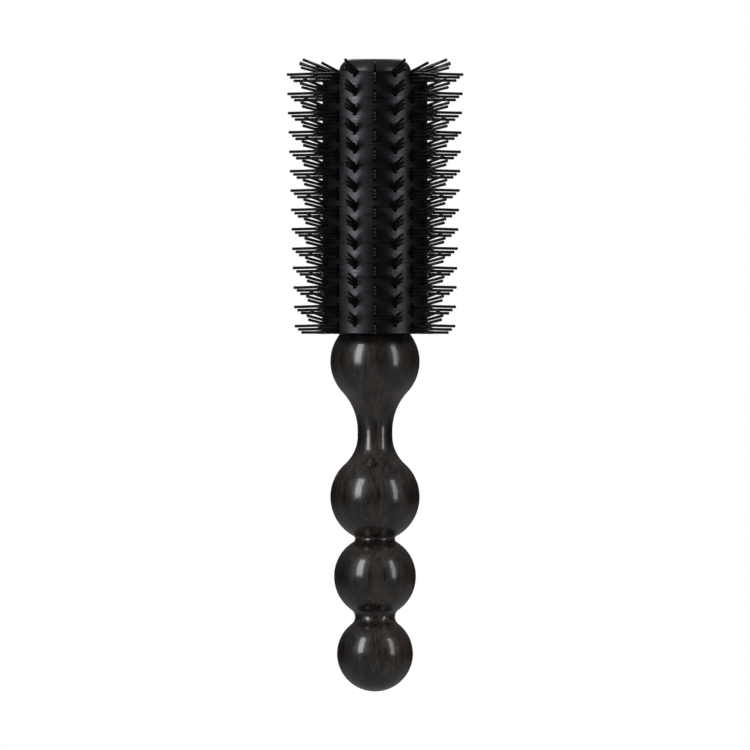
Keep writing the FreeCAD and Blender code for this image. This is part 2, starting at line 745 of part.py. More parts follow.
def repeat_rows(body, pins):
    """Repeat a group of pins down the strip, each group set a little deeper."""
    guide = new_sketch(body, body.Name + "_row_line", "XZ_Plane")
    line = guide.addGeometry(Part.LineSegment(
        FreeCAD.Vector(0, 0, 0),
        FreeCAD.Vector(-size("row_taper"), -size("row_pitch"), 0)), True)
    constrain(guide, "Coincident", line, START, *ORIGIN_POINT)
    constrain(guide, "DistanceX", line, END, line, START, formula="row_taper")
    constrain(guide, "DistanceY", line, END, line, START, formula="row_pitch")
    rows = body.newObject("PartDesign::LinearPattern", body.Name + "_rows")
    rows.Originals = pins
    rows.Direction = (guide, ["Axis0"])
    rows.setExpression("Length", "sqrt( Sizes.row_taper ^ 2 + Sizes.row_pitch ^ 2 )"
                                 " * ( Sizes.rows - 1 ) * 1 mm")
    rows.setExpression("Occurrences", cells("rows"))
    body.Tip = rows
    doc.recompute()


def trim_rail(body):
    """Cut the pins flush with the rail's back and step its ends for the hubs."""
    sketch = new_sketch(body, body.Name + "_trim_side", "XZ_Plane")
    back = "core_bore_radius"
    step = "hub_flange_radius"
    base_step = "barrel_base + base_flange_thickness"
    top_step = BARREL_TOP + " - top_flange_thickness"
    below = "neck_bead_height"
    above = BARREL_TOP + " + cap_rise * 2"
    add_outline(sketch, [
        (back, below),
        (step, below),
        (step, base_step),
        ("rail_inner_radius", base_step),
        ("rail_inner_radius", top_step),
        (step, top_step),
        (step, above),
        (back, above),
    ])
    pocket(body, sketch, body.Name + "_trim", "rail_width * 2", midplane=True)
    doc.recompute()


LEVEL_PINS = ("long", "medium", "short")
LEANING_PINS = ("low", "middle", "high")


def make_level_strip(name):
    """Strip with groups of three nearly level pins and one crown pin."""
    body = new_body(name)
    add_rail(body)
    pins = []
    for step, pin_name in enumerate(LEVEL_PINS):
        pins.append(add_pin(
            body, f"level_{pin_name}",
            f"level_tip_radius - level_tip_step * {step}",
            f"top_row_height - level_tip_drop * {step}",
            f"- ( level_droop + level_droop_step * {len(LEVEL_PINS) - 1 - step} )"))
        doc.recompute()
    repeat_rows(body, pins)
    add_pin(body, "crown", "crown_tip_radius", "top_row_height + crown_tip_rise",
            "crown_angle", "crown_root_length")
    doc.recompute()
    trim_rail(body)
    return body


def make_leaning_strip(name):
    """Strip with groups of three pins fanned upwards."""
    body = new_body(name)
    add_rail(body)
    pins = []
    for step, pin_name in enumerate(LEANING_PINS):
        pins.append(add_pin(
            body, f"leaning_{pin_name}",
            f"lean_{pin_name}_radius",
            f"top_row_height + lean_tip_rise + lean_tip_step * {step}",
            f"lean_{pin_name}_angle"))
        doc.recompute()
    repeat_rows(body, pins)
    trim_rail(body)
    return body


def copy_round(master, family, half_step):
    """Set a family's strips round the axis: the first one and its copies."""
    strips = [master]
    for number in range(2, int(size("columns")) + 1):
        body = doc.addObject("PartDesign::Body", f"{family}_{number:02d}")
        body.Label = f"{family}_{number:02d}"
        copied = doc.addObject("PartDesign::FeatureBase", f"{family}_{number:02d}_copy")
        copied.BaseFeature = master
        body.Group = [copied]
        body.Tip = copied
        strips.append(body)
    for position, body in enumerate(strips):
        turn = FreeCAD.Rotation(FreeCAD.Vector(0, 0, 1), 1)
        body.Placement = FreeCAD.Placement(FreeCAD.Vector(), turn)
        body.setExpression("Placement.Rotation.Angle",
                           f"( {position} + {half_step} ) * 360 / Sizes.columns * 1 deg")
    doc.recompute()
    return strips


# ------------------------------------------------------------------ checks

def check_document():
    """Stop if any object of the document failed."""
    for item in doc.Objects:
        for state in item.State:
            if state in ("Invalid", "Error"):
                raise RuntimeError(f"{item.Name} is {state}")


def write_piece(piece):
    """Write one piece to its file after testing its shape."""
    shape = piece.Shape
    if shape.isNull() or not shape.isValid() or not shape.Solids:
        raise RuntimeError(f"{piece.Label} has no valid shape")
    shape.exportStep(f"parts/{piece.Label}.step")
    box = shape.BoundBox
    print(f"{piece.Label}: {len(shape.Solids)} solid(s), {shape.Volume:.1f} mm3, "
          f"z {box.ZMin:.2f} to {box.ZMax:.2f}, widest {box.XLength:.2f} x {box.YLength:.2f}")


def main():
    """Build every piece and write it to parts/."""
    fill_sheet()
    pieces = [
        make_handle(),
        make_insert(),
        make_dowels(),
        make_base_hub(),
        make_strip_core(),
        make_barrel_tube(),
        make_top_hub(),
        make_rod(),
        make_washer(),
        make_nut(),
        make_end_cap(),
    ]
    level = make_level_strip("straight_pin_strip_01")
    pieces += copy_round(level, "straight_pin_strip", 0)
    leaning = make_leaning_strip("leaning_pin_strip_01")
    pieces += copy_round(leaning, "leaning_pin_strip", 0.5)
    doc.recompute()
    check_document()
    os.makedirs("parts", exist_ok=True)
    for piece in pieces:
        write_piece(piece)


main()
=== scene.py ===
import logging
import math
import random
from dataclasses import dataclass
from enum import Enum
from typing import Any

import bmesh
import bpy
from mathutils import Matrix, Vector


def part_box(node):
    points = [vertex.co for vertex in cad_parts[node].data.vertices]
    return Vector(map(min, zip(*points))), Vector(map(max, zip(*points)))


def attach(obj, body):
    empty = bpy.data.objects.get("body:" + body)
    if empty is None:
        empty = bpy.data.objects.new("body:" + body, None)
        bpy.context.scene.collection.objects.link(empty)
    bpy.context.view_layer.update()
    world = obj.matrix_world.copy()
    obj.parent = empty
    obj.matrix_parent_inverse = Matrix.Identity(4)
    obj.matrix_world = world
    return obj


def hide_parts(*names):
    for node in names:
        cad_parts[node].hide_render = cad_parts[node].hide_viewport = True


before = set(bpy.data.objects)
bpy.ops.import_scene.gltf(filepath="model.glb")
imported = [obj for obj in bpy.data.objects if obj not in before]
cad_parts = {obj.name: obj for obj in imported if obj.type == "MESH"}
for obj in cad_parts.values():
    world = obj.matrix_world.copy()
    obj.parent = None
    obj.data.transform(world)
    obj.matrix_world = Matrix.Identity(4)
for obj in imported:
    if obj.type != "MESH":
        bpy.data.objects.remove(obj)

LOG = logging.getLogger("barrel_brush")
MM = 0.001
BODY = "root"
# Points nearer than this are one point, in metres.
WELD = 1e-6
FINE_WELD = 1e-7

Point = tuple[float, float]


class Slot(Enum):
    """The record's material slot names; the inner parts' table lists them beside each finish,
    but no piece is given one.
    """

    HANDLE = "handle_wood"
    BARREL = "barrel_aluminium"
    MOULDED = "moulded_black"
    PIN = "pin_nylon"
    CAP = "cap_black"
    STEEL = "fastener_steel"
    BRASS = "insert_brass"


class Family(Enum):
    """The two kinds of pin strip that take turns round the barrel."""

    STRAIGHT = "straight_pin_strip"
    LEANING = "leaning_pin_strip"


# ------------------------------------------------------------------ finishes

def linear(hex_colour: str) -> tuple[float, float, float, float]:
    """Turn an sRGB hex colour into linear RGBA.

    Args:
        hex_colour: colour such as "#1a1a1a".

    Returns:
        Red, green, blue and alpha for a shader socket.
    """
    channels = [int(hex_colour[start:start + 2], 16) / 255 for start in (1, 3, 5)]
    red, green, blue = (
        value / 12.92 if value <= 0.04045 else ((value + 0.055) / 1.055) ** 2.4
        for value in channels)
    return (red, green, blue, 1.0)


def add_node(tree: bpy.types.NodeTree, kind: str, sockets: dict[Any, Any] | None = None,
             **settings: Any) -> bpy.types.Node:
    """Add a node with its settings, and set or link its input sockets.

    Args:
        tree: node tree to add to.
        kind: the node's type.
        sockets: input socket to a value, or to the output socket that feeds it.
        settings: the node's own properties.

    Returns:
        The new node.
    """
    node = tree.nodes.new(kind)
    for name, value in settings.items():
        setattr(node, name, value)
    for socket, source in (sockets or {}).items():
        if isinstance(source, bpy.types.NodeSocket):
            tree.links.new(source, node.inputs[socket])
        else:
            node.inputs[socket].default_value = source
    return node


def new_material(name: str) -> tuple[bpy.types.Material, bpy.types.NodeTree]:
    """Make an empty node material.

    Args:
        name: the material's name.

    Returns:
        The material and its node tree.
    """
    material = bpy.data.materials.new(name)
    material.use_nodes = True
    material.node_tree.nodes.clear()
    return material, material.node_tree


def stretched_noise(tree: bpy.types.NodeTree, grain_mm: tuple[float, float, float],
                    detail: float = 3.0) -> bpy.types.NodeSocket:
    """Noise on object coordinates with a real size along each axis.

    Args:
        tree: node tree to add to.
        grain_mm: size of one grain along X, Y and Z in millimetres.
        detail: octaves of finer noise.

    Returns:
        The noise's value socket, about 0 to 1.
    """
    place = add_node(tree, "ShaderNodeTexCoord")
    per_metre = tuple(1 / (size * MM) for size in grain_mm)
    mapped = add_node(tree, "ShaderNodeMapping",
                      {"Vector": place.outputs["Object"], "Scale": per_metre})
    noise = add_node(tree, "ShaderNodeTexNoise",
                     {"Vector": mapped.outputs["Vector"], "Scale": 1.0,
                      "Detail": detail, "Roughness": 0.5})
    return noise.outputs["Fac"]


def spread(tree: bpy.types.NodeTree, source: bpy.types.NodeSocket, low: float, high: float,
           from_low: float = 0.3, from_high: float = 0.7) -> bpy.types.NodeSocket:
    """Map a value to a new range.

    Args:
        tree: node tree to add to.
        source: value to map.
        low: result at from_low.
        high: result at from_high.
        from_low: lower end of the source's range.
        from_high: upper end of the source's range.

    Returns:
        The mapped value's socket.
    """
    mapped = add_node(tree, "ShaderNodeMapRange",
                      {"Value": source, "From Min": from_low, "From Max": from_high,
                       "To Min": low, "To Max": high})
    return mapped.outputs["Result"]


def near_surface(tree: bpy.types.NodeTree, inner_mm: float, outer_mm: float
                 ) -> bpy.types.NodeSocket:
    """Grow from 0 to 1 with the distance from the brush's axis.

    Args:
        tree: node tree to add to.
        inner_mm: distance in millimetres where it is 0.
        outer_mm: distance in millimetres where it is 1.

    Returns:
        The value's socket.
    """
    place = add_node(tree, "ShaderNodeTexCoord")
    flat = add_node(tree, "ShaderNodeVectorMath",
                    {0: place.outputs["Object"], 1: (1.0, 1.0, 0.0)}, operation="MULTIPLY")
    distance = add_node(tree, "ShaderNodeVectorMath", {0: flat.outputs[0]}, operation="LENGTH")
    return spread(tree, distance.outputs["Value"], 0.0, 1.0, inner_mm * MM, outer_mm * MM)


def product(tree: bpy.types.NodeTree, first: bpy.types.NodeSocket,
            second: bpy.types.NodeSocket) -> bpy.types.NodeSocket:
    """Multiply two values."""
    return add_node(tree, "ShaderNodeMath", {0: first, 1: second},
                    operation="MULTIPLY").outputs[0]


def two_tone(tree: bpy.types.NodeTree, factor: bpy.types.NodeSocket, first: str,
             second: str) -> bpy.types.NodeSocket:
    """Blend two colours by a value.

    Args:
        tree: node tree to add to.
        factor: 0 gives the first colour, 1 the second.
        first: sRGB hex colour.
        second: sRGB hex colour.

    Returns:
        The colour socket.
    """
    mix = add_node(tree, "ShaderNodeMix", {0: factor, 6: linear(first), 7: linear(second)},
                   data_type="RGBA")
    return mix.outputs[2]


def relief(tree: bpy.types.NodeTree, height: bpy.types.NodeSocket, depth_mm: float,
           under: bpy.types.NodeSocket | None = None) -> bpy.types.NodeSocket:
    """Bump of a real depth.

    Args:
        tree: node tree to add to.
        height: value from 0 to 1.
        depth_mm: height of a full step in millimetres.
        under: another relief's normal that this one lies on.

    Returns:
        The normal socket.
    """
    sockets: dict[Any, Any] = {"Height": height, "Distance": depth_mm * MM, "Strength": 1.0}
    if under is not None:
        sockets["Normal"] = under
    return add_node(tree, "ShaderNodeBump", sockets).outputs["Normal"]


def close_material(tree: bpy.types.NodeTree, **sockets: Any) -> None:
    """Add the surface shader and the output.

    Args:
        tree: node tree to add to.
        sockets: shader input to value or source, its name's spaces as underscores.
    """
    named = {name.replace("_", " "): value for name, value in sockets.items()}
    shader = add_node(tree, "ShaderNodeBsdfPrincipled", named)
    add_node(tree, "ShaderNodeOutputMaterial", {"Surface": shader.outputs["BSDF"]})


@dataclass(frozen=True)
class EbonisedBeech:
    """Turned beech, dyed black and dipped in gloss lacquer.

    The eye gets a deep black with a faint warm grain along the handle and a
    slightly wavy gloss, because the lacquer levels out over the pores. Where
    the beads are fattest the hand has scuffed it with fine marks.
    """

    dye: str = "#070606"
    pale_grain: str = "#20160f"
    # Beech pores are 0.1 mm wide: drawn 1 mm wide so that they show.
    pore_mm: tuple[float, float, float] = (1.0, 1.0, 14.0)
    band_mm: tuple[float, float, float] = (5.0, 5.0, 70.0)
    pore_depth_mm: float = 0.03
    smoothest: float = 0.28
    roughest: float = 0.5
    lacquer_weight: float = 0.8
    lacquer_roughness: float = 0.1
    sunk_lacquer_mm: float = 0.012
    lacquer_wave_mm: tuple[float, float, float] = (9.0, 9.0, 14.0)
    lacquer_wave_depth_mm: float = 0.05
    # Hair-fine scuffs of 0.05 mm: drawn 0.4 mm wide so that they show.
    scuff_mm: tuple[float, float, float] = (5.0, 5.0, 0.4)
    scuffs_start_mm: float = 12.5
    scuffs_full_mm: float = 18.0
    scuff_depth_mm: float = 0.012

    def material(self) -> bpy.types.Material:
        """Build the material.

        Returns:
            The material.
        """
        material, tree = new_material("ebonised_beech")
        pores = stretched_noise(tree, self.pore_mm, detail=4.0)
        bands = stretched_noise(tree, self.band_mm, detail=2.0)
        tone = spread(tree, product(tree, pores, bands), 0.0, 1.0, 0.2, 0.34)
        waves = stretched_noise(tree, self.lacquer_wave_mm, detail=1.0)
        scuffs = product(
            tree,
            spread(tree, stretched_noise(tree, self.scuff_mm), 0.0, 1.0, 0.5, 0.72),
            near_surface(tree, self.scuffs_start_mm, self.scuffs_full_mm))
        lacquer = relief(tree, pores, self.sunk_lacquer_mm,
                         relief(tree, waves, self.lacquer_wave_depth_mm))
        close_material(
            tree,
            Base_Color=two_tone(tree, tone, self.dye, self.pale_grain),
            Roughness=spread(tree, pores, self.smoothest, self.roughest),
            IOR=1.5,
            Normal=relief(tree, pores, self.pore_depth_mm),
            Coat_Weight=self.lacquer_weight,
            Coat_Roughness=self.lacquer_roughness,
            Coat_IOR=1.5,
            Coat_Normal=relief(tree, scuffs, self.scuff_depth_mm, lacquer))
        return material


@dataclass(frozen=True)
class AnodisedAluminium:
    """Drawn aluminium tube, brushed round and anodised black.

    The eye gets a satin black metal with soft highlights that stretch along
    the barrel, crossed by fine marks that run round it.
    """

    face: str = "#2f2f32"
    worn: str = "#434347"
    # Brush marks are 0.05 mm apart: drawn 0.45 mm apart so that they show.
    mark_mm: tuple[float, float, float] = (40.0, 40.0, 0.45)
    patch_mm: tuple[float, float, float] = (18.0, 18.0, 26.0)
    mark_depth_mm: float = 0.014
    smoothest: float = 0.26
    roughest: float = 0.46

    def material(self) -> bpy.types.Material:
        """Build the material.

        Returns:
            The material.
        """
        material, tree = new_material("black_anodised_aluminium")
        marks = stretched_noise(tree, self.mark_mm, detail=3.0)
        patches = stretched_noise(tree, self.patch_mm, detail=2.0)
        close_material(
            tree,
            Base_Color=two_tone(tree, spread(tree, patches, 0.0, 1.0), self.face, self.worn),
            Metallic=1.0,
            Roughness=spread(tree, marks, self.smoothest, self.roughest),
            Anisotropic=0.4,
            Normal=relief(tree, marks, self.mark_depth_mm))
        return material


@dataclass(frozen=True)
class MouldedNylon:
    """Nylon 66, injection moulded black.

    The eye gets slim, slightly waxy black pins with a small bright spot on
    each ball.
    """

    resin: str = "#070708"
    bloom: str = "#0e0e0f"
    flow_mm: tuple[float, float, float] = (1.6, 1.6, 1.6)
    flow_depth_mm: float = 0.008
    smoothest: float = 0.26
    roughest: float = 0.38

    def material(self) -> bpy.types.Material:
        """Build the material.

        Returns:
            The material.
        """
        material, tree = new_material("moulded_nylon")
        flow = stretched_noise(tree, self.flow_mm, detail=2.0)
        close_material(
            tree,
            Base_Color=two_tone(tree, flow, self.resin, self.bloom),
            Roughness=spread(tree, flow, self.smoothest, self.roughest),
            IOR=1.53,
            Normal=relief(tree, flow, self.flow_depth_mm))
        return material


@dataclass(frozen=True)
class TexturedAbs:
    """Black ABS from a mould with a fine spark-eroded texture.

    The eye gets a satin black with a faint sparkle on rounded edges.
    """

    name: str = "textured_abs"
    resin: str = "#080809"
    rubbed: str = "#111112"
    # The texture's grain is 0.06 mm: drawn 0.35 mm so that it shows.
    grain_mm: tuple[float, float, float] = (0.35, 0.35, 0.35)
    grain_depth_mm: float = 0.015
    rub_mm: tuple[float, float, float] = (7.0, 7.0, 7.0)
    smoothest: float = 0.36
    roughest: float = 0.5

    def material(self) -> bpy.types.Material:
        """Build the material.

        Returns:
            The material.
        """
        material, tree = new_material(self.name)
        grain = stretched_noise(tree, self.grain_mm, detail=2.0)
        rubs = stretched_noise(tree, self.rub_mm, detail=2.0)
        close_material(
            tree,
            Base_Color=two_tone(tree, spread(tree, rubs, 0.0, 1.0), self.resin, self.rubbed),
            Roughness=spread(tree, rubs, self.smoothest, self.roughest),
            IOR=1.54,
            Normal=relief(tree, grain, self.grain_depth_mm))
        return material


@dataclass(frozen=True)
class PlainMetal:
    """A machined or plated fastener metal.

    The eye gets a dull metal with faint turning marks round its axis.
    """

    name: str
    face: str
    tarnish: str
    mark_mm: tuple[float, float, float] = (20.0, 20.0, 0.3)
    mark_depth_mm: float = 0.01
    smoothest: float = 0.24
    roughest: float = 0.4

    def material(self) -> bpy.types.Material:
        """Build the material.

        Returns:
            The material.
        """
        material, tree = new_material(self.name)
        marks = stretched_noise(tree, self.mark_mm, detail=2.0)
        close_material(
            tree,
            Base_Color=two_tone(tree, marks, self.face, self.tarnish),
            Metallic=1.0,
            Roughness=spread(tree, marks, self.smoothest, self.roughest),
            Normal=relief(tree, marks, self.mark_depth_mm))
        return material


# -------------------------------------------------------------- mesh helpers

def finish_piece(bm: bmesh.types.BMesh, name: str, material: bpy.types.Material,
                 replaced: list[str], sharp_degrees: float = 38.0
                 ) -> bpy.types.Object:
    """Turn a bmesh into a piece that rides on the body.

    Args:
        bm: the finished mesh, in metres, in place.
        name: the piece's name.
        material: its finish.
        replaced: CAD nodes that it stands for.
        sharp_degrees: edges that turn more than this stay sharp.

    Returns:
        The piece's object.
    """
    mesh = bpy.data.meshes.new(name)
    bm.to_mesh(mesh)
    bm.free()
    mesh.shade_smooth()
    mesh.set_sharp_from_angle(angle=math.radians(sharp_degrees))
    mesh.materials.append(material)
    piece = bpy.data.objects.new(name, mesh)
    bpy.context.scene.collection.objects.link(piece)
    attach(piece, BODY)
    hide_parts(*replaced)
    LOG.info("%s: %d faces for %s", name, len(mesh.polygons), ", ".join(replaced))
    return piece


class Lathe:
    """An outline drawn in the XZ plane, then turned about the Z axis."""

    def __init__(self, radius: float, height: float) -> None:
        """Start the outline.

        Args:
            radius: distance of its first point from the axis, in millimetres.
            height: the first point's height, in millimetres.
        """
        self.bm = bmesh.new()
        self.tip = self.bm.verts.new((radius * MM, 0.0, height * MM))

    def line(self, radius: float, height: float) -> None:
        """Draw a straight stretch.

        Args:
            radius: distance of its end from the axis, in millimetres.
            height: its end's height, in millimetres.
        """
        grown = bmesh.ops.extrude_vert_indiv(self.bm, verts=[self.tip])
        self.tip = grown["verts"][0]
        self.tip.co = Vector((radius * MM, 0.0, height * MM))

    def arc(self, centre: Point, end: Point, steps: int) -> None:
        """Draw a round stretch to a point, the short way round.

        Args:
            centre: radius and height of the arc's centre, in millimetres.
            end: radius and height of its end, in millimetres.
            steps: edges along the arc.
        """
        middle = Vector((centre[0] * MM, 0.0, centre[1] * MM))
        from_centre = self.tip.co - middle
        start_angle = math.atan2(from_centre.z, from_centre.x)
        end_angle = math.atan2(end[1] - centre[1], end[0] - centre[0])
        turn = (end_angle - start_angle + math.pi) % math.tau - math.pi
        spun = bmesh.ops.spin(self.bm, geom=[self.tip], cent=middle, axis=(0, -1, 0),
                              angle=turn, steps=steps)
        self.tip = [item for item in spun["geom_last"]
                    if isinstance(item, bmesh.types.BMVert)][0]

    def close(self) -> None:
        """Join the outline's end to its start, for a ring that is open on the axis."""
        self.bm.verts.ensure_lookup_table()
        self.bm.edges.new((self.tip, self.bm.verts[0]))

    def turn(self, steps: int) -> bmesh.types.BMesh:
        """Turn the outline into a closed solid.

        Args:
            steps: faces round the axis.

        Returns:
            The solid.
        """
        spin_round(self.bm, list(self.bm.verts) + list(self.bm.edges),
                   Vector(), Vector((0, 0, 1)), steps)
        bmesh.ops.remove_doubles(self.bm, verts=self.bm.verts, dist=WELD)
        bmesh.ops.recalc_face_normals(self.bm, faces=self.bm.faces)
        return self.bm


def spin_round(bm: bmesh.types.BMesh, outline: list[Any], centre: Vector, axis: Vector,
               steps: int) -> None:
    """Spin an outline a full turn and merge where it meets itself."""
    bmesh.ops.spin(bm, geom=outline, cent=centre, axis=axis, angle=math.tau, steps=steps,
                   use_merge=True)


def part_way(start: Point, end: Point, distance: float) -> Point:
    """Find the point at a distance from start on the way to end."""
    share = distance / math.dist(start, end)
    return (start[0] + (end[0] - start[0]) * share, start[1] + (end[1] - start[1]) * share)


# -------------------------------------------------------------------- handle

@dataclass
class Handle:
    """Four turned beads and a waist. Sizes in millimetres, heights from the foot."""

    end_radius: float = 15.7
    finger_radius: float = 16.95
    finger_height: float = 47.6
    palm_radius: float = 18.5
    palm_height: float = 80.4
    neck_radius: float = 18.5
    neck_height: float = 136.3
    lower_hollow: float = 3.5
    upper_hollow: float = 1.2
    waist_radius: float = 7.2
    lower_sweep: float = 15.3
    upper_sweep: float = 23.5
    rim_round: float = 0.6
    end_steps: int = 44
    lower_hollow_steps: int = 12
    bead_steps: int = 40
    upper_hollow_steps: int = 10
    lower_sweep_steps: int = 16
    upper_sweep_steps: int = 18
    neck_steps: int = 26
    rim_steps: int = 4
    steps_round: int = 96

    def hollow_centre(self, low: Point, low_radius: float, high: Point, high_radius: float,
                      hollow: float) -> Point:
        """Find the centre of a hollow that touches two beads.

        Args:
            low: centre of the lower bead.
            low_radius: its radius.
            high: centre of the upper bead.
            high_radius: its radius.
            hollow: the hollow's radius.

        Returns:
            Radius and height of the hollow's centre.
        """
        gap = high[1] - low[1]
        low_reach = low_radius + hollow
        high_reach = high_radius + hollow
        along = (gap ** 2 + low_reach ** 2 - high_reach ** 2) / (2 * gap)
        return (math.sqrt(low_reach ** 2 - along ** 2), low[1] + along)

    def sweep_centre(self, bead: Point, bead_radius: float, sweep: float, side: int) -> Point:
        """Find the centre of a sweep that touches a bead and the waist.

        Args:
            bead: the bead's centre.
            bead_radius: its radius.
            sweep: the sweep's radius.
            side: 1 above the bead, -1 below it.

        Returns:
            Radius and height of the sweep's centre.
        """
        out = self.waist_radius + sweep
        rise = math.sqrt((bead_radius + sweep) ** 2 - out ** 2)
        return (out, bead[1] + side * rise)

    def build(self, finish: EbonisedBeech) -> bpy.types.Object:
        """Turn the handle from its foot up to the barrel.

        Args:
            finish: the wood's finish.

        Returns:
            The handle.
        """
        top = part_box("handle")[1].z / MM
        end: Point = (0.0, self.end_radius)
        finger: Point = (0.0, self.finger_height)
        palm: Point = (0.0, self.palm_height)
        neck: Point = (0.0, self.neck_height)
        low = self.hollow_centre(end, self.end_radius, finger, self.finger_radius,
                                 self.lower_hollow)
        high = self.hollow_centre(finger, self.finger_radius, palm, self.palm_radius,
                                  self.upper_hollow)
        below = self.sweep_centre(palm, self.palm_radius, self.lower_sweep, 1)
        above = self.sweep_centre(neck, self.neck_radius, self.upper_sweep, -1)

        lathe = Lathe(0.0, 0.0)
        lathe.arc(end, part_way(end, low, self.end_radius), self.end_steps)
        lathe.arc(low, part_way(finger, low, self.finger_radius), self.lower_hollow_steps)
        lathe.arc(finger, part_way(finger, high, self.finger_radius), self.bead_steps)
        lathe.arc(high, part_way(palm, high, self.palm_radius), self.upper_hollow_steps)
        lathe.arc(palm, part_way(palm, below, self.palm_radius), self.bead_steps)
        lathe.arc(below, (self.waist_radius, below[1]), self.lower_sweep_steps)
        lathe.line(self.waist_radius, above[1])
        lathe.arc(above, part_way(neck, above, self.neck_radius), self.upper_sweep_steps)
        rim_centre = self.rim_centre(top)
        lathe.arc(neck, part_way(neck, rim_centre, self.neck_radius), self.neck_steps)
        lathe.arc(rim_centre, (rim_centre[0], top), self.rim_steps)
        lathe.line(0.0, top)
        return finish_piece(lathe.turn(self.steps_round), "beaded_handle", finish.material(),
                            ["handle"], sharp_degrees=60.0)

    def rim_centre(self, top: float) -> Point:
        """Find the centre of the small rounding where the neck bead meets its flat top.

        Args:
            top: height of the flat top.

        Returns:
            Radius and height of the rounding's centre.
        """
        height = top - self.rim_round
        reach = self.neck_radius - self.rim_round
        return (math.sqrt(reach ** 2 - (height - self.neck_height) ** 2), height)


# -------------------------------------------------------------------- barrel

@dataclass
class Barrel:
    """Slotted tube with its two hubs and the cap. Sizes in millimetres."""

    wall: float = 1.2
    columns: int = 8
    rows: int = 14
    slot_width: float = 1.7
    level_slot_foot: float = 250.85
    level_slot_height: float = 5.5
    level_slot_pitch: float = 8.0
    lean_slot_foot: float = 253.7
    lean_slot_height: float = 4.8
    lean_slot_pitch: float = 7.94
    slot_rounding: float = 0.35
    facets_between: int = 5
    flange_radius: float = 18.1
    base_flange: float = 3.0
    top_flange: float = 4.0
    boss_radius: float = 11.9
    bore_radius: float = 3.2
    cap_dish_depth: float = 2.0
    cap_corner: float = 5.6
    cap_wall: float = 2.0
    cap_gap: float = 0.05
    cap_ring_share: float = 0.5
    cap_corner_steps: int = 20
    cap_hollow_steps: int = 12
    nut_well_radius: float = 8.0
    nut_well_depth: float = 6.0
    edge: float = 0.3
    edge_steps: int = 4
    steps_round: int = 96

    def slot_spans(self, family: Family) -> list[tuple[float, float]]:
        """List the foot and head heights of one column of slots.

        Args:
            family: kind of strip behind the column.

        Returns:
            One pair of heights for each slot, cut off at the tube's ends.
        """
        low, high = (corner.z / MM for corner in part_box("barrel_tube"))
        foot, height, pitch = {
            Family.STRAIGHT: (self.level_slot_foot, self.level_slot_height,
                              self.level_slot_pitch),
            Family.LEANING: (self.lean_slot_foot, self.lean_slot_height,
                             self.lean_slot_pitch),
        }[family]
        spans = []
        for row in range(self.rows):
            slot_foot = foot - pitch * row
            spans.append((max(slot_foot, low), min(slot_foot + height, high)))
        return spans

    def build_tube(self, finish: AnodisedAluminium) -> bpy.types.Object:
        """Spin the tube's wall column by column and open its slots.

        Args:
            finish: the tube's finish.

        Returns:
            The tube.
        """
        low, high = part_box("barrel_tube")
        radius = high.x
        spans = {family: self.slot_spans(family) for family in Family}
        levels = {low.z / MM, high.z / MM}
        for family in Family:
            for foot, head in spans[family]:
                levels |= {foot, head}
        heights = sorted(levels)

        bm = bmesh.new()
        line = [bm.verts.new((radius, 0.0, heights[0] * MM))]
        for height in heights[1:]:
            grown = bmesh.ops.extrude_vert_indiv(bm, verts=[line[-1]])
            line.append(grown["verts"][0])
            line[-1].co.z = height * MM
        slot_turn = self.slot_width * MM / radius
        column_turn = math.tau / (2 * self.columns)
        bmesh.ops.rotate(bm, verts=bm.verts, matrix=Matrix.Rotation(-slot_turn / 2, 3, "Z"))

        front: list[Any] = list(bm.verts) + list(bm.edges)
        openings: list[bmesh.types.BMFace] = []
        for column in range(2 * self.columns):
            family = Family.STRAIGHT if column % 2 == 0 else Family.LEANING
            faces, front = self.spin_part(bm, front, slot_turn, 1)
            openings += [face for face in faces if self.in_slot(face, spans[family])]
            _, front = self.spin_part(bm, front, column_turn - slot_turn,
                                      self.facets_between)
        bmesh.ops.delete(bm, geom=openings, context="FACES")
        bmesh.ops.remove_doubles(bm, verts=bm.verts, dist=WELD)
        self.round_slot_corners(bm)
        bmesh.ops.recalc_face_normals(bm, faces=bm.faces)
        self.add_wall(bm, radius)
        return finish_piece(bm, "slotted_barrel", finish.material(),
                            ["barrel_tube"])

    def spin_part(self, bm: bmesh.types.BMesh, front: list[Any], angle: float, steps: int
                  ) -> tuple[list[bmesh.types.BMFace], list[Any]]:
        """Spin the front line on by an angle.

        Args:
            bm: the tube's mesh.
            front: vertices and edges of the line that moves.
            angle: how far, in radians.
            steps: faces on the way.

        Returns:
            The new faces, and the line where they end.
        """
        known = set(bm.faces)
        spun = bmesh.ops.spin(bm, geom=front, cent=(0, 0, 0), axis=(0, 0, 1), angle=angle,
                              steps=steps)
        return [face for face in bm.faces if face not in known], list(spun["geom_last"])

    def in_slot(self, face: bmesh.types.BMFace, spans: list[tuple[float, float]]) -> bool:
        """Tell whether a face lies in one of a column's slots."""
        middle = face.calc_center_median().z / MM
        return any(foot < middle < head for foot, head in spans)

    def round_slot_corners(self, bm: bmesh.types.BMesh) -> None:
        """Round the slots' corners in the plane of the wall.

        A slot's corner is the one place where a rim vertex has three faces.

        Args:
            bm: the tube's outer face.
        """
        corners = [vertex for vertex in bm.verts
                   if vertex.is_boundary and len(vertex.link_faces) == 3]
        bmesh.ops.bevel(bm, geom=corners, offset=self.slot_rounding * MM, segments=3,
                        profile=0.5, affect="VERTICES", material=-1, clamp_overlap=True)

    def add_wall(self, bm: bmesh.types.BMesh, radius: float) -> None:
        """Give the shell its inner face and close the slots' sides.

        Args:
            bm: the tube's outer face.
            radius: its radius in metres.
        """
        grown = bmesh.ops.extrude_face_region(bm, geom=list(bm.faces), use_keep_orig=True)
        inner = [item for item in grown["geom"] if isinstance(item, bmesh.types.BMVert)]
        share = (radius - self.wall * MM) / radius
        bmesh.ops.scale(bm, verts=inner, vec=(share, share, 1.0))
        bmesh.ops.recalc_face_normals(bm, faces=bm.faces)

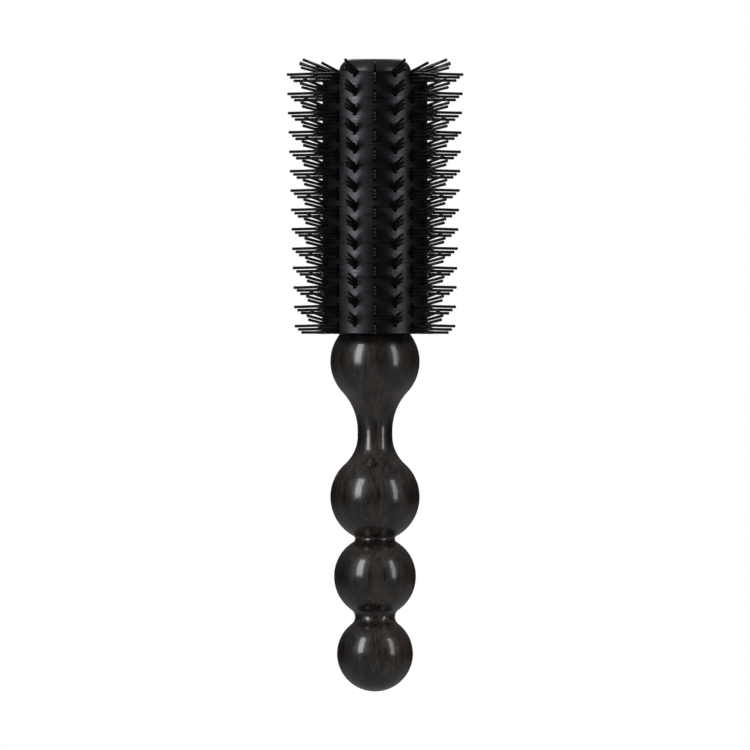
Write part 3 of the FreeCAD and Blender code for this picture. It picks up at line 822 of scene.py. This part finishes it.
    def build_cap(self, finish: TexturedAbs) -> bpy.types.Object:
        """Turn the hollow cap with its rounded edge.

        Args:
            finish: the cap's finish.

        Returns:
            The cap.
        """
        low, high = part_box("end_cap")
        radius, foot, top = high.x / MM, low.z / MM, high.z / MM
        centre: Point = (radius - self.cap_corner, top - self.cap_corner)
        inner = self.cap_corner - self.cap_wall
        lathe = Lathe(0.0, top)
        lathe.line(centre[0] * self.cap_ring_share, top)
        lathe.line(centre[0], top)
        lathe.arc(centre, (radius, centre[1]), self.cap_corner_steps)
        lathe.line(radius, foot)
        lathe.line(radius - self.cap_wall, foot)
        lathe.line(radius - self.cap_wall, centre[1])
        lathe.arc(centre, (centre[0], centre[1] + inner), self.cap_hollow_steps)
        lathe.line(0.0, top - self.cap_wall)
        return finish_piece(lathe.turn(self.steps_round), "rounded_cap", finish.material(),
                            ["end_cap"])

    def build_top_hub(self, finish: TexturedAbs) -> bpy.types.Object:
        """Turn the disc that closes the barrel round the cap.

        Args:
            finish: the disc's finish.

        Returns:
            The disc.
        """
        low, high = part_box("top_hub")
        foot, top = low.z / MM, high.z / MM
        dish_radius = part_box("end_cap")[1].x / MM + self.cap_gap
        well_floor = top - self.nut_well_depth
        shoulder = top - self.top_flange
        edge = self.edge
        lathe = Lathe(self.bore_radius, foot)
        lathe.line(self.boss_radius, foot)
        lathe.line(self.boss_radius, shoulder)
        lathe.line(self.flange_radius, shoulder)
        lathe.line(self.flange_radius, top - edge)
        lathe.arc((self.flange_radius - edge, top - edge), (self.flange_radius - edge, top),
                  self.edge_steps)
        lathe.line(dish_radius + edge, top)
        lathe.arc((dish_radius + edge, top - edge), (dish_radius, top - edge),
                  self.edge_steps)
        lathe.line(dish_radius, top - self.cap_dish_depth)
        lathe.line(self.nut_well_radius, top - self.cap_dish_depth)
        lathe.line(self.nut_well_radius, well_floor)
        lathe.line(self.bore_radius, well_floor)
        lathe.close()
        return finish_piece(lathe.turn(self.steps_round), "top_closing_disc",
                            finish.material(), ["top_hub"])

    def build_base_hub(self, finish: TexturedAbs) -> bpy.types.Object:
        """Turn the disc between the handle and the barrel.

        Args:
            finish: the disc's finish.

        Returns:
            The disc.
        """
        low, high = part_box("base_hub")
        foot, top = low.z / MM, high.z / MM
        shoulder = foot + self.base_flange
        edge = self.edge
        lathe = Lathe(self.bore_radius, foot)
        lathe.line(self.flange_radius - edge, foot)
        lathe.arc((self.flange_radius - edge, foot + edge),
                  (self.flange_radius, foot + edge), self.edge_steps)
        lathe.line(self.flange_radius, shoulder)
        lathe.line(self.boss_radius, shoulder)
        lathe.line(self.boss_radius, top)
        lathe.line(self.bore_radius, top)
        lathe.close()
        return finish_piece(lathe.turn(self.steps_round), "base_centring_disc",
                            finish.material(), ["base_hub"])


# -------------------------------------------------------------------- strips

@dataclass(frozen=True)
class Pin:
    """One pin of a group at the top row, in the plane of its strip.

    Args:
        tip_radius: the ball's centre from the barrel's axis, in millimetres.
        tip_height: its height in millimetres.
        lean: degrees that the pin points up, or down if negative.
        root_length: length of the thick root from inside the rail, in millimetres.
    """

    tip_radius: float
    tip_height: float
    lean: float
    root_length: float = 9.0


@dataclass
class PinStrip:
    """A moulded strip: a rail in the core's channel and its rows of pins."""

    family: Family
    number: int
    finish: bpy.types.Material
    columns: int = 8
    rows: int = 14
    row_pitch: float = 8.0
    row_taper: float = 0.25
    top_row: float = 254.85
    rail_inner: float = 16.3
    rail_step: float = 18.1
    rail_outer: float = 20.4
    rail_width: float = 1.7
    base_step: float = 3.0
    top_step: float = 4.0
    rail_edge: float = 0.12
    root_radius: float = 0.66
    shaft_radius: float = 0.58
    ball_radius: float = 0.68
    neck_length: float = 1.5
    start_radius: float = 17.4
    cut_radius: float = 18.2
    pin_sides: int = 8
    dome_steps: int = 3
    wander_degrees: float = 0.35
    group_pins: int = 3
    # The highest level pin droops a little, and each one below it is shorter.
    level_tip: float = 35.9
    level_droop: float = 1.6
    level_tip_step: float = 1.4
    level_drop_step: float = 1.3
    level_lean_step: float = 0.7
    leaning_rise: float = 2.65
    leaning_rise_step: float = 1.66
    # Tip radius and degrees of lean of each leaning pin, from the lowest up.
    leaning_pins: tuple[tuple[float, float], ...] = (
        (32.6, 13.4), (33.25, 14.2), (31.75, 20.4))
    # The crown pin leans out over the barrel's top edge.
    crown_tip: float = 30.6
    crown_rise: float = 4.65
    crown_lean: float = 20.6
    crown_root: float = 4.5

    def node(self) -> str:
        """Name the CAD node that this strip stands for."""
        return f"{self.family.value}_{self.number:02d}"

    def group(self) -> list[Pin]:
        """List the pins of one group, as they stand in the top row.

        Returns:
            The pins, in the order in which they are grown.
        """
        if self.family is Family.STRAIGHT:
            return [Pin(self.level_tip - self.level_tip_step * step,
                        self.top_row - self.level_drop_step * step,
                        self.level_lean_step * step - self.level_droop)
                    for step in range(self.group_pins)]
        return [Pin(radius, self.top_row + self.leaning_rise + self.leaning_rise_step * step,
                    lean)
                for step, (radius, lean) in enumerate(self.leaning_pins)]

    def crown(self) -> Pin:
        """Describe the pin that leans out over the barrel's top edge."""
        return Pin(self.crown_tip, self.top_row + self.crown_rise, self.crown_lean,
                   root_length=self.crown_root)

    def build(self) -> bpy.types.Object:
        """Mould the strip and set it round the barrel.

        Returns:
            The strip.
        """
        # Each pin leaves the mould a little out of true, the same in every run.
        chance = random.Random(f"{self.family.value} {self.number}")
        bm = bmesh.new()
        self.add_rail(bm)
        for row in range(self.rows):
            for pin in self.group():
                self.grow(bm, pin, row, chance)
        if self.family is Family.STRAIGHT:
            self.grow(bm, self.crown(), 0, chance)
        half_step = 0.0 if self.family is Family.STRAIGHT else 0.5
        turn = math.tau * (self.number - 1 + half_step) / self.columns
        bmesh.ops.rotate(bm, verts=bm.verts, matrix=Matrix.Rotation(turn, 3, "Z"))
        return finish_piece(bm, f"{self.node()}_moulding", self.finish,
                            [self.node()], sharp_degrees=50.0)

    def add_rail(self, bm: bmesh.types.BMesh) -> None:
        """Extrude the rail from its side view, stepped at both ends for the hubs.

        Args:
            bm: the strip's mesh.
        """
        foot, top = (corner.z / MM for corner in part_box("strip_core"))
        side = [
            (self.rail_outer, foot),
            (self.rail_outer, top),
            (self.rail_step, top),
            (self.rail_step, top - self.top_step),
            (self.rail_inner, top - self.top_step),
            (self.rail_inner, foot + self.base_step),
            (self.rail_step, foot + self.base_step),
            (self.rail_step, foot),
        ]
        half = self.rail_width / 2 * MM
        face = bm.faces.new([bm.verts.new((radius * MM, -half, height * MM))
                             for radius, height in side])
        grown = bmesh.ops.extrude_face_region(bm, geom=[face], use_keep_orig=True)
        moved = [item for item in grown["geom"] if isinstance(item, bmesh.types.BMVert)]
        bmesh.ops.translate(bm, verts=moved, vec=(0.0, 2 * half, 0.0))
        bmesh.ops.recalc_face_normals(bm, faces=bm.faces)
        bmesh.ops.bevel(bm, geom=list(bm.edges), offset=self.rail_edge * MM, segments=2,
                        profile=0.5, affect="EDGES", material=-1)

    def grow(self, bm: bmesh.types.BMesh, pin: Pin, row: int, chance: random.Random) -> None:
        """Grow one pin by spinning its half outline about its own axis.

        Args:
            bm: the strip's mesh.
            pin: the pin as it stands in the top row.
            row: rows below the top one.
            chance: source of the small error of each pin.
        """
        inset = self.row_taper * row
        drop = self.row_pitch * row
        lean = math.radians(pin.lean)
        along = Vector((math.cos(lean), 0.0, math.sin(lean)))
        across = Vector((-math.sin(lean), 0.0, math.cos(lean)))
        ball = Vector((pin.tip_radius - inset, 0.0, pin.tip_height - drop)) * MM
        start = ball - along * ((ball.x - self.cut_radius * MM) / along.x)
        root = self.root_radius * MM
        shaft = self.shaft_radius * MM
        ball_size = self.ball_radius * MM
        buried = (self.cut_radius - self.start_radius + inset) * MM / along.x
        root_length = pin.root_length * MM - buried
        neck_end = root_length + self.neck_length * MM
        shaft_end = (ball - start).length - math.sqrt(ball_size ** 2 - shaft ** 2)

        tip = bm.verts.new(start)
        outline: list[Any] = [tip]
        for distance, radius in ((0.0, root), (root_length, root), (neck_end, shaft),
                                 (shaft_end, shaft)):
            grown = bmesh.ops.extrude_vert_indiv(bm, verts=[tip])
            tip = grown["verts"][0]
            tip.co = start + along * distance + across * radius
            outline += [tip, grown["edges"][0]]
        dome = math.pi - math.asin(shaft / ball_size)
        spun = bmesh.ops.spin(bm, geom=[tip], cent=ball, axis=(0, 1, 0), angle=dome,
                              steps=self.dome_steps)
        first = spun["geom_last"][0]
        outline += self.chain_back(first, tip)
        known = set(bm.verts)
        spin_round(bm, outline, start, along, self.pin_sides)
        body = [vertex for vertex in bm.verts if vertex not in known]
        body += [item for item in outline if isinstance(item, bmesh.types.BMVert)]
        self.set_apart(bm, body, start, chance)

    def chain_back(self, last: bmesh.types.BMVert, first: bmesh.types.BMVert) -> list[Any]:
        """Collect the vertices and edges from the end of an arc back to its start.

        Args:
            last: the arc's end.
            first: its start, which is left out.

        Returns:
            The vertices and edges between them.
        """
        chain: list[Any] = []
        here = last
        while here is not first:
            edge = [item for item in here.link_edges if item not in chain][0]
            chain += [here, edge]
            here = edge.other_vert(here)
        return chain

    def set_apart(self, bm: bmesh.types.BMesh, body: list[bmesh.types.BMVert],
                  start: Vector, chance: random.Random) -> None:
        """Close a pin's poles, point its faces outwards and tilt it a little.

        Args:
            bm: the strip's mesh.
            body: the pin's vertices.
            start: the pin's foot, about which it tilts, in metres.
            chance: source of the tilt.
        """
        bmesh.ops.remove_doubles(bm, verts=body, dist=FINE_WELD)
        whole = [vertex for vertex in body if vertex.is_valid]
        faces = {face for vertex in whole for face in vertex.link_faces}
        bmesh.ops.recalc_face_normals(bm, faces=list(faces))
        for axis in ("Y", "Z"):
            angle = math.radians(chance.uniform(-self.wander_degrees, self.wander_degrees))
            bmesh.ops.rotate(bm, verts=whole, cent=start,
                             matrix=Matrix.Rotation(angle, 3, axis))


# --------------------------------------------------------------- inner parts

@dataclass(frozen=True)
class InnerParts:
    """CAD nodes that stay as they are, with the finish of the real piece."""

    moulded: TexturedAbs

    def dress(self) -> None:
        """Give each hidden or half-hidden CAD piece its finish."""
        steel = PlainMetal("zinc_plated_steel", face="#8f9296", tarnish="#6f7276").material()
        brass = PlainMetal("machined_brass", face="#b08d4f", tarnish="#8d6e3a").material()
        finishes = {
            "strip_core": (self.moulded.material(), Slot.MOULDED),
            "tie_rod": (steel, Slot.STEEL),
            "washer": (steel, Slot.STEEL),
            "nut": (steel, Slot.STEEL),
            "anti_turn_dowels": (steel, Slot.STEEL),
            "threaded_insert": (brass, Slot.BRASS),
        }
        for node, (material, slot) in finishes.items():
            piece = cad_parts[node]
            for material_slot in piece.material_slots:
                material_slot.material = material
            LOG.info("%s: kept from the design, %s", node, material.name)


# --------------------------------------------------------------------- stage

@dataclass(frozen=True)
class Softbox:
    """Rectangular light. Sizes in metres, power in watts.

    Glossy faces reflect it only if it is mirrored.
    """

    name: str
    place: tuple[float, float, float]
    size: tuple[float, float]
    power: float
    mirrored: bool = True

    def hang(self, target: Vector) -> None:
        """Hang the light so that it faces a point.

        Args:
            target: the point that it faces, in metres.
        """
        place = Vector(self.place)
        data = bpy.data.lights.new(self.name, "AREA")
        data.shape = "RECTANGLE"
        data.size, data.size_y = self.size
        data.energy = self.power
        light = bpy.data.objects.new(self.name, data)
        light.visible_glossy = self.mirrored
        light.location = place
        aim = target - place
        light.rotation_euler = aim.to_track_quat("-Z", "Y").to_euler()
        bpy.context.scene.collection.objects.link(light)


SOFTBOXES = (
    Softbox("left_softbox", (-0.75, -0.75, 0.5), (0.35, 0.9), 7.0),
    Softbox("right_softbox", (0.85, -0.6, 0.4), (0.22, 0.9), 3.0),
    Softbox("back_softbox", (0.0, 1.1, 0.45), (0.4, 0.9), 2.0),
    Softbox("overhead_softbox", (0.0, 0.0, 1.2), (2.0, 2.0), 58.0, mirrored=False),
)


@dataclass
class Studio:
    """Pale floor, soft lights and a level camera. Sizes in metres."""

    view_height: float = 0.1307
    view_width: float = 0.30975
    distance: float = 1.2
    floor_radius: float = 0.7
    horizon_light: float = 0.02
    overhead_light: float = 0.17
    floor_glow: float = 0.22

    def build(self) -> None:
        """Set up everything that isn't part of the brush."""
        self.add_floor()
        self.add_world()
        self.add_camera()
        for softbox in SOFTBOXES:
            softbox.hang(Vector((0.0, 0.0, self.view_height)))
        bpy.context.scene.view_settings.view_transform = "Standard"

    def add_floor(self) -> None:
        """Lay a plain pale floor that the glossy parts don't mirror."""
        bm = bmesh.new()
        bmesh.ops.create_circle(bm, cap_ends=True, radius=self.floor_radius, segments=64)
        mesh = bpy.data.meshes.new("floor")
        bm.to_mesh(mesh)
        bm.free()
        floor = bpy.data.objects.new("floor", mesh)
        bpy.context.scene.collection.objects.link(floor)
        material, tree = new_material("pale_floor")
        close_material(tree, Base_Color=linear("#f4f4f4"), Roughness=0.9)
        mesh.materials.append(material)
        floor.visible_glossy = False

    def add_world(self) -> None:
        """Show white behind the brush, and light it with a dim room.

        The room is darkest at the horizon, and brighter overhead and towards the
        floor, whose glow the glossy parts reflect.
        """
        world = bpy.data.worlds.new("studio")
        world.use_nodes = True
        tree = world.node_tree
        tree.nodes.clear()
        place = add_node(tree, "ShaderNodeTexCoord")
        axes = add_node(tree, "ShaderNodeSeparateXYZ", {"Vector": place.outputs["Generated"]})
        sky = spread(tree, axes.outputs["Z"], self.horizon_light, self.overhead_light,
                     from_low=0.1, from_high=0.9)
        glow = spread(tree, axes.outputs["Z"], self.floor_glow, 0.0,
                      from_low=-0.5, from_high=-0.05)
        both = add_node(tree, "ShaderNodeMath", {0: sky, 1: glow}, operation="ADD")
        dim = add_node(tree, "ShaderNodeBackground",
                       {"Color": linear("#ffffff"), "Strength": both.outputs[0]})
        white = add_node(tree, "ShaderNodeBackground",
                         {"Color": linear("#ffffff"), "Strength": 1.0})
        path = add_node(tree, "ShaderNodeLightPath")
        shown = add_node(tree, "ShaderNodeMixShader",
                         {0: path.outputs["Is Camera Ray"], 1: dim.outputs[0],
                          2: white.outputs[0]})
        add_node(tree, "ShaderNodeOutputWorld", {"Surface": shown.outputs[0]})
        bpy.context.scene.world = world

    def add_camera(self) -> None:
        """Look at the brush from the front, level, with no perspective."""
        data = bpy.data.cameras.new("camera")
        data.type = "ORTHO"
        data.ortho_scale = self.view_width
        camera = bpy.data.objects.new("camera", data)
        camera.location = (0.0, -self.distance, self.view_height)
        camera.rotation_euler = (math.pi / 2, 0.0, 0.0)
        bpy.context.scene.collection.objects.link(camera)
        bpy.context.scene.camera = camera


def main() -> None:
    """Build the brush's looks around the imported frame."""
    logging.basicConfig(level=logging.INFO, format="%(name)s: %(message)s")
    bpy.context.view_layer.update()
    satin_abs = TexturedAbs()
    Handle().build(EbonisedBeech())
    barrel = Barrel()
    barrel.build_tube(AnodisedAluminium())
    barrel.build_base_hub(satin_abs)
    barrel.build_top_hub(satin_abs)
    barrel.build_cap(TexturedAbs(name="satin_cap_abs", smoothest=0.3, roughest=0.42))
    nylon = MouldedNylon().material()
    for family in Family:
        for number in range(1, barrel.columns + 1):
            PinStrip(family, number, nylon).build()
    InnerParts(satin_abs).dress()
    Studio().build()


if __name__ == "__main__":
    main()
